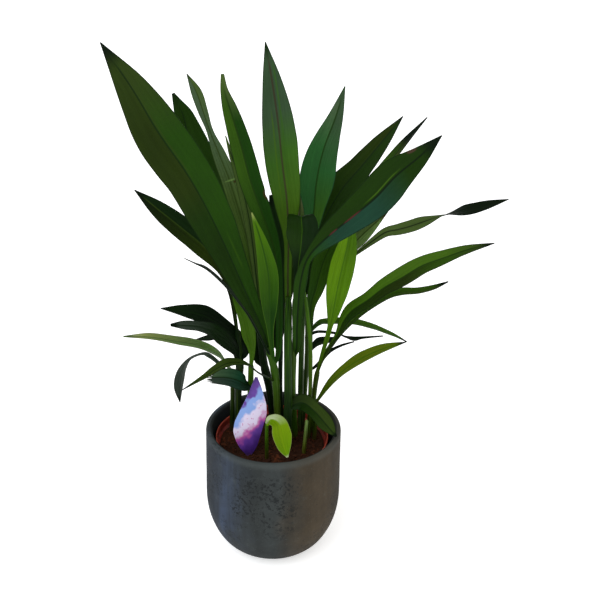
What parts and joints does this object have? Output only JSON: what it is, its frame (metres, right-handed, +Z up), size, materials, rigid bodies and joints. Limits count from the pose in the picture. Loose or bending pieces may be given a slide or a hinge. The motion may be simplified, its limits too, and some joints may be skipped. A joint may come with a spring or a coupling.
{
  "type": "potted palm",
  "caption": "Clump of slender stems with long undivided lance-shaped leaves, growing in soil in a plastic nursery pot that stands in a round-bottomed concrete-like cover pot.",
  "frame": {"origin": "middle of the cover pot's flat underside", "axes": "+Z up, the pictured front faces -Y, +X is to the right in the picture"},
  "size_m": [0.3998, 0.2462, 0.5693],
  "materials": {
    "cover_pot": "matt, mottled concrete-like",
    "nursery_pot": "satin, terracotta red",
    "soil": "rough, moist potting soil with bark",
    "plant_label": "satin print in violet and pale blue",
    "leaf_dark": "satin, dark green",
    "leaf_green": "satin, mid green",
    "leaf_lime": "satin, light green"
  },
  "bodies": {
    "root": {"cover_pot": "cover_pot", "nursery_pot": "nursery_pot", "soil": "soil", "plant_label": "plant_label", "stem_great": "leaf_dark", "stem_front_right": "leaf_dark", "stem_far_right": "leaf_dark", "stem_left_dark": "leaf_dark", "stem_back_left": "leaf_dark", "stem_back_middle": "leaf_dark", "stem_centre": "leaf_green", "stem_back_right": "leaf_green", "stem_spear": "leaf_green", "stem_left_low": "leaf_green", "stem_behind_label": "leaf_green", "stem_stub": "leaf_green", "sprout_lime": "leaf_lime", "stem_right_arch": "leaf_lime", "stem_low_right": "leaf_lime"}
  },
  "joints": []
}
